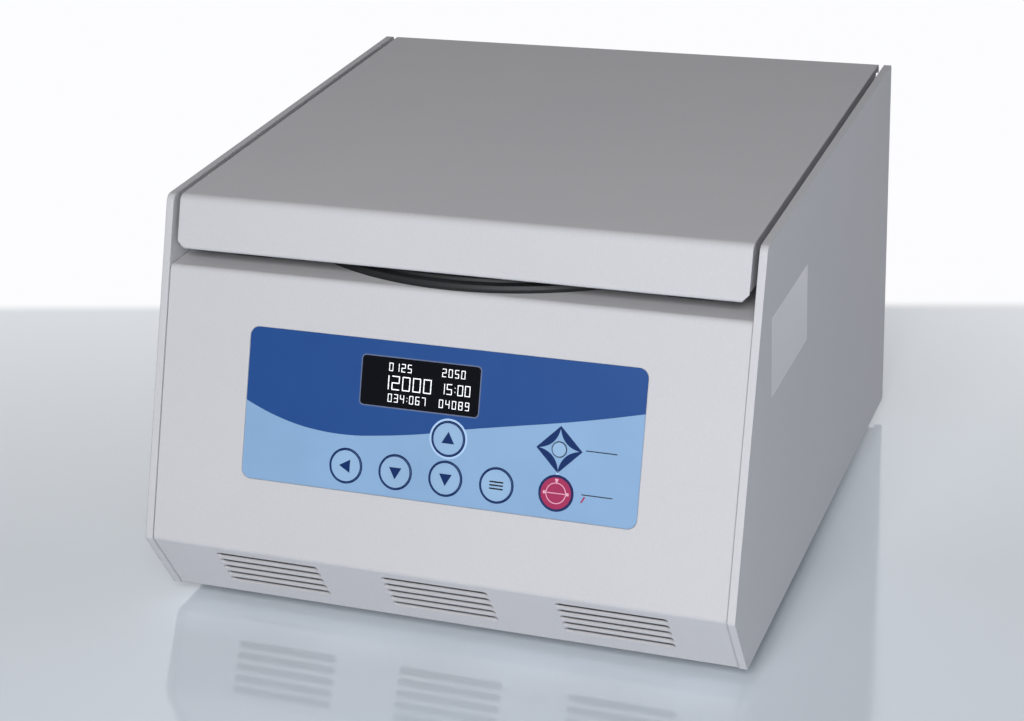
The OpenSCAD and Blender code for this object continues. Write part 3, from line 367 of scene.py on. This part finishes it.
film_black = film("film_black", "1A1B22")
film_red = film("film_crimson", "A23058")
film_pink = film("film_pale_pink", "E3A9BE")
film_frame = film("film_window_frame", "66718C")
window_dark = film("window_dark", "0E0F14", 0.16)
lcd_white = display_glow("lcd_white", "EDEFF2", 0.55)

BY_SLOT = {
    "case_paint": paint,
    "zinc_sheet": zinc,
    "screw_steel": bright,
    "steel_bowl": bowl_steel,
    "black_rubber": rubber,
    "motor_alloy": motor_paint,
    "rotor_alloy": rotor_alloy,
    "clip_steel": clip_steel,
    "funnel_plastic": funnel_plastic,
    "slide_glass": glass,
    "black_plastic": plastic,
    "board_green": green_board,
    "blue_overlay": film_light,
    "display_glass": window_dark,
    "key_blue": film_key,
    "key_red": film_red,
}


def dress(obj, material):
    if not obj.material_slots:
        obj.data.materials.append(material)
    for place in obj.material_slots:
        place.material = material


slot_of = {}
for part in frame["record"]["subparts"]:
    slot_of[part["node"]] = part["material_slot"]
for name, obj in nodes.items():
    dress(obj, BY_SLOT[slot_of[name]])
dress(nodes["right_side_panel"], paint_side)


# Printed shapes on the keypad: flat prisms made from outlines


def circle(x, s, r, count=64):
    return [(x + r * math.cos(2 * math.pi * i / count), s + r * math.sin(2 * math.pi * i / count))
            for i in range(count)]


def rounded_box(x, s, w, h, r, count=8):
    points = []
    for cx, cs, start in ((1, 1, 0), (-1, 1, 90), (-1, -1, 180), (1, -1, 270)):
        for i in range(count + 1):
            angle = math.radians(start + 90 * i / count)
            corner_x = x + cx * (w / 2 - r)
            corner_s = s + cs * (h / 2 - r)
            points.append((corner_x + r * math.cos(angle), corner_s + r * math.sin(angle)))
    return points


def is_inside(x, s, loop):
    """True where a point is inside an outline."""
    inside = False
    for (x0, s0), (x1, s1) in zip(loop, loop[1:] + loop[:1]):
        if (s0 > s) != (s1 > s) and x < x0 + (s - s0) / (s1 - s0) * (x1 - x0):
            inside = not inside
    return inside


def triangles_of(loops):
    """Places and triangles that fill an outline but none of its holes, which may cross its edge."""
    points = []
    edges = []
    for loop in loops:
        start = len(points)
        count = len(loop)
        points += [Vector(place) for place in loop]
        edges += [(start + i, start + (i + 1) % count) for i in range(count)]
    places, _, faces, _, _, _ = delaunay_2d_cdt(points, edges, [], 0, 1e-7)
    triangles = []
    for face in faces:
        a, b, c = (places[corner] for corner in face)
        middle = (a + b + c) / 3
        if not is_inside(middle.x, middle.y, loops[0]):
            continue
        if any(is_inside(middle.x, middle.y, hole) for hole in loops[1:]):
            continue
        upward = (b - a).cross(c - a) > 0
        triangles.append(tuple(face) if upward else tuple(face)[::-1])
    return places, triangles


def add_prism(mesh, loops, low, high):
    """Adds one outline, with holes, as a flat prism between two heights over the face."""
    places, triangles = triangles_of(loops)
    top = {}
    bottom = {}
    for corner in sorted(set(corner for triangle in triangles for corner in triangle)):
        x, s = places[corner]
        top[corner] = mesh.verts.new(face_point(x, s, high))
        bottom[corner] = mesh.verts.new(face_point(x, s, low))
    sides = set()
    for a, b, c in triangles:
        mesh.faces.new([top[a], top[b], top[c]])
        sides |= {(a, b), (b, c), (c, a)}
    for a, b in sorted(sides):
        if (b, a) not in sides:
            mesh.faces.new([top[a], bottom[a], bottom[b], top[b]])


def printed(name, shapes, base, material, body, thick=INK):
    """A printed piece of one or more outlines, each a list of loops: the outline and its holes."""
    mesh = bmesh.new()
    for loops in shapes:
        add_prism(mesh, loops, base, base + thick)
    data = bpy.data.meshes.new(name)
    mesh.to_mesh(data)
    mesh.free()
    obj = bpy.data.objects.new(name, data)
    scene.collection.objects.link(obj)
    data.materials.append(material)
    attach(obj, body)


# Lower edge of the dark print, as places x and s on the face
WAVE = [(-107.5, 79.5), (-98, 75.6), (-88, 72.3), (-74.7, 69.2), (-60, 67.6), (-46, 67.6), (-36.1, 68.5),
        (-20, 70.6), (-5.3, 73.1), (14.8, 77.5), (40, 82.1), (63.6, 86.3), (86, 90.8), (106.3, 95.4)]


def smooth_line(points, steps=6):
    """Points of a smooth curve through the given ones."""
    out = []
    count = len(points)
    for i in range(count - 1):
        p0 = points[max(i - 1, 0)]
        p1 = points[i]
        p2 = points[i + 1]
        p3 = points[min(i + 2, count - 1)]
        for k in range(steps):
            t = k / steps
            value = []
            for axis in (0, 1):
                a, b, c, d = p0[axis], p1[axis], p2[axis], p3[axis]
                value.append(0.5 * (2 * b + (c - a) * t + (2 * a - 5 * b + 4 * c - d) * t * t
                                    + (3 * b - a - 3 * c + d) * t ** 3))
            out.append(tuple(value))
    out.append(points[-1])
    return out


def dark_outline():
    """The dark upper part of the overlay: the wave below, the overlay's rounded corners above."""
    half = PAD_W / 2 - PRINT_GAP
    top = PAD_S + PAD_H - PRINT_GAP
    radius = PAD_CORNER
    points = [(x, s) for x, s in smooth_line(WAVE) if abs(x) < half - 0.05]
    points = [(-half, points[0][1] + 0.4)] + points + [(half, points[-1][1] + 0.1)]
    for cx, start in ((1, 0), (-1, 90)):
        for i in range(9):
            angle = math.radians(start + 90 * i / 8)
            corner_x = cx * (half - radius)
            corner_s = top - radius
            points.append((corner_x + radius * math.cos(angle), corner_s + radius * math.sin(angle)))
    return points


up = KEYS["key_up"]
program = KEYS["key_program"]
start_stop = KEYS["key_start_stop"]
window_hole = rounded_box(WINDOW_AT[0], WINDOW_AT[1], WINDOW_W + WINDOW_FRAME, WINDOW_H + WINDOW_FRAME, 2.4)
window_edge = rounded_box(WINDOW_AT[0], WINDOW_AT[1], WINDOW_W, WINDOW_H, 2.0)
HALO_R = KEY_R + 1.75
printed("overlay_dark_print", [[dark_outline(), window_hole, circle(up[0], up[1], HALO_R)]],
        OVERLAY_TOP, film_dark, "root")
printed("overlay_window_frame", [[window_hole, window_edge]],
        OVERLAY_TOP, film_frame, "root")
printed("overlay_up_halo", [[circle(up[0], up[1], HALO_R), circle(up[0], up[1], KEY_R + 0.25)]],
        OVERLAY_TOP, film_halo, "root", INK * 1.5)


def arrow(x, s, size, turn):
    """A triangle with slightly rounded corners, pointing up when turn is zero."""
    corners = [(0, size * 0.62), (-size * 0.58, -size * 0.4), (size * 0.58, -size * 0.4)]
    points = []
    for i in range(3):
        px, ps = corners[i]
        for j, weight in ((i - 1, 0.08), (i, 0.0), ((i + 1) % 3, 0.08)):
            qx, qs = corners[j]
            points.append((px + (qx - px) * weight, ps + (qs - ps) * weight))
    cos = math.cos(math.radians(turn))
    sin = math.sin(math.radians(turn))
    return [(x + px * cos - ps * sin, s + px * sin + ps * cos) for px, ps in points]


RING_IN = KEY_R - 0.5
RING_OUT = KEY_R + 0.75
EMBOSS_R = 6.8
ARROW_SIZE = 5.9


def round_key(key, emboss):
    """The navy ring of a round key, half on its disc and half on the film around it."""
    x, s = KEYS[key]
    printed(key + "_ring", [[circle(x, s, KEY_R), circle(x, s, RING_IN)]], KEY_TOP, film_navy,
            key + "_body")
    printed(key + "_ring_outer", [[circle(x, s, RING_OUT), circle(x, s, KEY_R + 0.16)]], OVERLAY_TOP,
            film_navy, "root", INK * 2)
    if emboss:
        printed(key + "_emboss", [[circle(x, s, EMBOSS_R + 0.25), circle(x, s, EMBOSS_R)]], KEY_TOP, film_rib,
                key + "_body", INK * 1.2)


for key, turn in (("key_up", 0), ("key_left", 90), ("key_down", 180), ("key_right_down", 180)):
    x, s = KEYS[key]
    round_key(key, True)
    printed(key + "_sign", [[arrow(x, s, ARROW_SIZE, turn)]], KEY_TOP, film_navy, key + "_body")

# Select key: three plain bars
BAR_PITCH = 1.7
BAR_SIZE = (7.4, 0.75)
x, s = KEYS["key_select"]
round_key("key_select", True)
bars = []
for offset in (-BAR_PITCH, 0.0, BAR_PITCH):
    bars.append([rounded_box(x, s + offset, BAR_SIZE[0], BAR_SIZE[1], 0.3, 3)])
printed("key_select_sign", bars, KEY_TOP, film_black, "key_select_body")

# Start and stop key: crimson disc with a navy ring and a pale round mark
x, s = start_stop
round_key("key_start_stop", False)
wedge = [(x - 1.0, s + 7.2), (x, s + 4.4), (x + 1.0, s + 7.2)]
printed("key_start_stop_mark",
        [[circle(x, s, 5.3), circle(x, s, 4.85)],
         [rounded_box(x - 5.9, s, 1.6, 1.5, 0.2, 2)],
         [rounded_box(x + 5.9, s, 1.6, 1.5, 0.2, 2)],
         [rounded_box(x, s, 9.3, 0.45, 0.1, 2)],
         [wedge]],
        KEY_TOP, film_pink, "key_start_stop_body")


def crescent(cx, cs, side):
    """One navy blade along a side of the diamond: straight outside, hollow inside."""
    reach_x = 12.0
    reach_s = 11.7
    hollow = 3.5
    tip = 0.12
    corner = {0: (0, reach_s), 1: (reach_x, 0), 2: (0, -reach_s), 3: (-reach_x, 0)}
    a = Vector(corner[side])
    b = Vector(corner[(side + 1) % 4])
    inward = -(a + b) * 0.5
    inward.normalize()
    steps = 16
    outer = []
    inner = []
    for i in range(steps + 1):
        t = i / steps
        p = a.lerp(b, t)
        depth = hollow * math.sin(math.pi * t) ** 0.8 + tip
        outer.append((cx + p.x, cs + p.y))
        inner.append((cx + p.x + inward.x * depth, cs + p.y + inward.y * depth))
    return outer + inner[::-1]


px, ps = program
printed("program_mark", [[crescent(px, ps, side)] for side in range(4)], OVERLAY_TOP, film_navy,
        "root")
printed("key_program_ring", [[circle(px, ps, PROGRAM_R), circle(px, ps, PROGRAM_R - 0.4)]], KEY_TOP,
        film_black, "key_program_body")
link_low = s + KEY_R + 0.2
link_high = s + KEY_R + 2.6
link = [(x - 0.9, link_low), (x + 0.9, link_low), (x + 0.5, link_high), (x - 0.5, link_high)]
printed("start_stop_link", [[link]], OVERLAY_TOP, film_halo, "root")

# Rules beside the round marks, and the slanted stroke of the lower one
upper_rule = rounded_box(86.3, 74.3, 16.1, 0.5, 0.1, 2)
lower_rule = rounded_box(85.7, 52.6, 15.9, 0.5, 0.1, 2)
printed("label_rules", [[upper_rule], [lower_rule]], OVERLAY_TOP, film_black, "root")
stroke = [(77.3, 48.6), (78.3, 48.6), (79.9, 51.6), (78.9, 51.6)]
printed("label_stroke", [[stroke]], OVERLAY_TOP, film_red, "root")

# Display: plain figures made of straight strokes
STROKES = {
    "0": "abcdef", "1": "bc", "2": "abged", "3": "abgcd", "4": "fgbc", "5": "afgcd", "6": "afgedc",
    "7": "abc", "8": "abcdefg", "9": "abcdfg",
}


def figure_loops(sign, x, s, w, h, line):
    """Outlines of one seven-stroke figure whose lower left corner is at (x, s)."""
    mid = s + h / 2
    gap = line * 0.12
    place = {
        "a": (x + w / 2, s + h - line / 2, w - 2 * gap, line),
        "g": (x + w / 2, mid, w - 2 * gap, line),
        "d": (x + w / 2, s + line / 2, w - 2 * gap, line),
        "f": (x + line / 2, (mid + s + h) / 2, line, h / 2 - 2 * gap),
        "b": (x + w - line / 2, (mid + s + h) / 2, line, h / 2 - 2 * gap),
        "e": (x + line / 2, (mid + s) / 2, line, h / 2 - 2 * gap),
        "c": (x + w - line / 2, (mid + s) / 2, line, h / 2 - 2 * gap),
    }
    loops = []
    for stroke in STROKES[sign]:
        cx, cs, sw, sh = place[stroke]
        loops.append([rounded_box(cx, cs, sw, sh, min(sw, sh) * 0.3, 2)])
    return loops


def figures(text, x, s, w, h, line, step):
    """Outlines of a row of figures and colons, each of size w by h, one step apart."""
    loops = []
    for sign in text:
        if sign == ":":
            loops.append([rounded_box(x + w * 0.2, s + h * 0.68, line, line, line * 0.3, 2)])
            loops.append([rounded_box(x + w * 0.2, s + h * 0.3, line, line, line * 0.3, 2)])
            x += step * 0.5
            continue
        loops += figure_loops(sign, x, s, w, h, line)
        x += step
    return loops


# Each row: figures, share of the window's width at its start, rise, figure width and height, stroke, step
ROWS = [
    ("12000", 0.17, 8.8, 4.3, 7.2, 0.52, 5.75),
    ("15:00", 0.665, 9.6, 2.9, 5.4, 0.42, 3.9),
    ("0125", 0.23, 18.2, 2.2, 4.2, 0.38, 3.35),
    ("2050", 0.68, 18.2, 2.2, 4.2, 0.38, 3.4),
    ("034:067", 0.235, 2.6, 2.2, 4.2, 0.38, 3.35),
    ("04089", 0.67, 2.6, 2.2, 4.2, 0.38, 3.5),
]
left = WINDOW_AT[0] - WINDOW_W / 2
low = WINDOW_AT[1] - WINDOW_H / 2
signs = []
for row, share, rise, width, height, line, step in ROWS:
    signs += figures(row, left + WINDOW_W * share, low + rise, width, height, line, step)
printed("display_figures", signs, WINDOW_TOP, lcd_white, "root")

# Camera at the photograph's place, turned by its pan, tilt and small roll
FOCAL_PIXELS = 2160.3
IMAGE_WIDTH = 1024.0
SENSOR = 36.0
CAMERA_AT = Vector((0.3935, -1.0401, 0.5860))
PAN = math.radians(21.546)
TILT = math.radians(23.904)
ROLL = math.radians(-2.79)
forward = Vector((-math.sin(PAN) * math.cos(TILT), math.cos(PAN) * math.cos(TILT), -math.sin(TILT)))
level_right = forward.cross(Vector((0, 0, 1))).normalized()
level_up = level_right.cross(forward).normalized()
right = level_right * math.cos(ROLL) + level_up * math.sin(ROLL)
top = right.cross(forward).normalized()
lens = bpy.data.cameras.new("camera")
lens.sensor_width = SENSOR
lens.lens = FOCAL_PIXELS / IMAGE_WIDTH * SENSOR
lens.clip_start = 0.02
lens.clip_end = 60.0
camera = bpy.data.objects.new("camera", lens)
scene.collection.objects.link(camera)
camera.matrix_world = Matrix((
    (right.x, top.x, -forward.x, CAMERA_AT.x),
    (right.y, top.y, -forward.y, CAMERA_AT.y),
    (right.z, top.z, -forward.z, CAMERA_AT.z),
    (0, 0, 0, 1)))
scene.camera = camera

# Bench top: a pale glossy sheet whose far edge is the photograph's soft horizon
IMAGE_HEIGHT = 721.0
EDGE_LEFT = (0.0, 303.0)
EDGE_RIGHT = (1024.0, 299.0)
BENCH_DEPTH = 4.0
BENCH_SIDE = 3.0
# Distances from the far edge at which the tint's painted lightening, the painted glow and the fade begin, and
# the strength of the painted glow at the edge
TINT_FROM = 1.1
PAINTED_GLOW_FROM = 0.38
PAINTED_FAR_GLOW = 0.26
FADE = 0.02
BENCH_IOR = 2.3
WHITE = (0.98, 0.98, 1.0, 1)


def on_floor(pixel):
    """The point of the floor plane that a pixel of the photograph shows."""
    ray = (forward + right * ((pixel[0] - IMAGE_WIDTH / 2) / FOCAL_PIXELS)
           + top * ((IMAGE_HEIGHT / 2 - pixel[1]) / FOCAL_PIXELS))
    return CAMERA_AT - ray * (CAMERA_AT.z / ray.z)


def bench_material():
    """Glossy pale sheet, painted lighter far away and given a painted glow towards its far edge, that fades
    into the white at its far edge.
    """
    g = Graph("bench_pale")
    split = g.add("ShaderNodeSeparateXYZ")
    g.link(g.coords.outputs["Object"], split.inputs[0])
    distance = g.add("ShaderNodeMapRange")
    distance.inputs["From Min"].default_value = -TINT_FROM
    distance.inputs["From Max"].default_value = 0.0
    g.link(split.outputs["Y"], distance.inputs["Value"])
    # The floor's own pale blue, painted lighter towards the far edge as painted light; the same colour is
    # used for the painted glow
    tint_with_painted_far_light = g.ramp(distance.outputs["Result"], [(0.0, srgb("D3E0ED")), (1.0, srgb("EEF3F8"))])
    g.link(tint_with_painted_far_light, g.shader.inputs["Base Color"])
    g.link(tint_with_painted_far_light, g.shader.inputs["Emission Color"])
    # Painted light: an emission that rises towards the far edge and brightens the floor there
    painted_far_glow = g.add("ShaderNodeMapRange")
    painted_far_glow.inputs["From Min"].default_value = -PAINTED_GLOW_FROM
    painted_far_glow.inputs["From Max"].default_value = 0.0
    painted_far_glow.inputs["To Max"].default_value = PAINTED_FAR_GLOW
    g.link(split.outputs["Y"], painted_far_glow.inputs["Value"])
    g.link(painted_far_glow.outputs["Result"], g.shader.inputs["Emission Strength"])
    g.link(g.grey_ramp(g.noise(g.mapped(), 25, 3), 0.07, 0.1), g.shader.inputs["Roughness"])
    g.set(IOR=BENCH_IOR)
    white = g.add("ShaderNodeEmission")
    white.inputs["Color"].default_value = WHITE
    fade = g.add("ShaderNodeMapRange", interpolation_type="SMOOTHSTEP")
    fade.inputs["From Min"].default_value = -FADE
    fade.inputs["From Max"].default_value = 0.0
    g.link(split.outputs["Y"], fade.inputs["Value"])
    blend = g.add("ShaderNodeMixShader")
    g.link(fade.outputs["Result"], blend.inputs["Fac"])
    g.link(g.shader.outputs[0], blend.inputs[1])
    g.link(white.outputs[0], blend.inputs[2])
    g.link(blend.outputs[0], g.output.inputs["Surface"])
    return g.material


edge_left = on_floor(EDGE_LEFT)
edge_right = on_floor(EDGE_RIGHT)
across = (edge_right - edge_left).normalized()
ahead = Vector((-across.y, across.x, 0))
bench_mesh = bmesh.new()
corners = []
bench_places = ((-BENCH_SIDE, -BENCH_DEPTH), (BENCH_SIDE, -BENCH_DEPTH), (BENCH_SIDE, 0), (-BENCH_SIDE, 0))
for side, depth in bench_places:
    corners.append(bench_mesh.verts.new((side, depth, 0)))
bench_mesh.faces.new(corners)
bench_data = bpy.data.meshes.new("bench_top")
bench_mesh.to_mesh(bench_data)
bench_mesh.free()
bench = bpy.data.objects.new("bench_top", bench_data)
scene.collection.objects.link(bench)
edge_middle = (edge_left + edge_right) / 2
bench.matrix_world = Matrix((
    (across.x, ahead.x, 0, edge_middle.x),
    (across.y, ahead.y, 0, edge_middle.y),
    (0, 0, 1, 0),
    (0, 0, 0, 1)))
bench_data.materials.append(bench_material())

# World: white where it is seen; in reflections grey in front of the bench and white behind it; a plain
# level where it lights
AMBIENT = 0.12
ROOM_GREY = (0.10, 0.10, 0.11, 1)
ROOM_GREY_TO = 0.25
ROOM_WHITE_FROM = 0.62
SKY = (0.93, 0.96, 1.0, 1)
world = bpy.data.worlds.new("world")
scene.world = world
world.use_nodes = True
tree = world.node_tree
tree.nodes.clear()


def world_node(kind, **values):
    node = tree.nodes.new(kind)
    for key, value in values.items():
        setattr(node, key, value)
    return node


output = world_node("ShaderNodeOutputWorld")
direction = world_node("ShaderNodeTexCoord")
facing = world_node("ShaderNodeVectorMath", operation="DOT_PRODUCT")
facing.inputs[1].default_value = (ahead.x, ahead.y, 0.0)
tree.links.new(direction.outputs["Generated"], facing.inputs[0])
room = world_node("ShaderNodeValToRGB")
room.color_ramp.elements[0].position = ROOM_GREY_TO
room.color_ramp.elements[0].color = ROOM_GREY
room.color_ramp.elements[1].position = ROOM_WHITE_FROM
room.color_ramp.elements[1].color = WHITE
shift = world_node("ShaderNodeMapRange")
shift.inputs["From Min"].default_value = -1.0
shift.inputs["From Max"].default_value = 1.0
tree.links.new(facing.outputs["Value"], shift.inputs["Value"])
tree.links.new(shift.outputs["Result"], room.inputs["Fac"])
path = world_node("ShaderNodeLightPath")
seen = world_node("ShaderNodeBackground")
seen.inputs["Color"].default_value = WHITE
mirrored = world_node("ShaderNodeBackground")
tree.links.new(room.outputs["Color"], mirrored.inputs["Color"])
light = world_node("ShaderNodeBackground")
light.inputs["Color"].default_value = SKY
light.inputs["Strength"].default_value = AMBIENT
reflected = world_node("ShaderNodeMixShader")
through = world_node("ShaderNodeMath", operation="MAXIMUM")
direct = world_node("ShaderNodeMixShader")
tree.links.new(path.outputs["Is Glossy Ray"], reflected.inputs["Fac"])
tree.links.new(light.outputs[0], reflected.inputs[1])
tree.links.new(mirrored.outputs[0], reflected.inputs[2])
tree.links.new(path.outputs["Is Camera Ray"], through.inputs[0])
tree.links.new(path.outputs["Is Transmission Ray"], through.inputs[1])
tree.links.new(through.outputs[0], direct.inputs["Fac"])
tree.links.new(reflected.outputs[0], direct.inputs[1])
tree.links.new(seen.outputs[0], direct.inputs[2])
tree.links.new(direct.outputs[0], output.inputs["Surface"])


def area_lamp(name, place, aim, size, power, colour=(1, 1, 1)):
    """A soft rectangular lamp at a place, turned towards its aim."""
    data = bpy.data.lights.new(name, "AREA")
    data.shape = "RECTANGLE"
    data.size = size[0]
    data.size_y = size[1]
    data.energy = power
    data.color = colour
    obj = bpy.data.objects.new(name, data)
    scene.collection.objects.link(obj)
    ray = Vector(aim) - Vector(place)
    turn = ray.to_track_quat("-Z", "Y").to_matrix().to_4x4()
    obj.matrix_world = Matrix.Translation(Vector(place)) @ turn


FRONT_LAMP_PLACE = (0.36, -1.85, 1.28)
FRONT_LAMP_AIM = (0, -0.1, 0.12)
FRONT_LAMP_WATTS = 34.5
RIGHT_LAMP_PLACE = (1.25, -1.4, 0.3)
RIGHT_LAMP_AIM = (0.1, 0, 0.12)
RIGHT_LAMP_WATTS = 7.5
RIGHT_LAMP_COLOUR = (0.86, 0.93, 1.0)
area_lamp("key_front", FRONT_LAMP_PLACE, FRONT_LAMP_AIM, (1.2, 0.9), FRONT_LAMP_WATTS)
area_lamp("fill_right", RIGHT_LAMP_PLACE, RIGHT_LAMP_AIM, (0.8, 0.5), RIGHT_LAMP_WATTS, RIGHT_LAMP_COLOUR)

scene.view_settings.view_transform = "Standard"
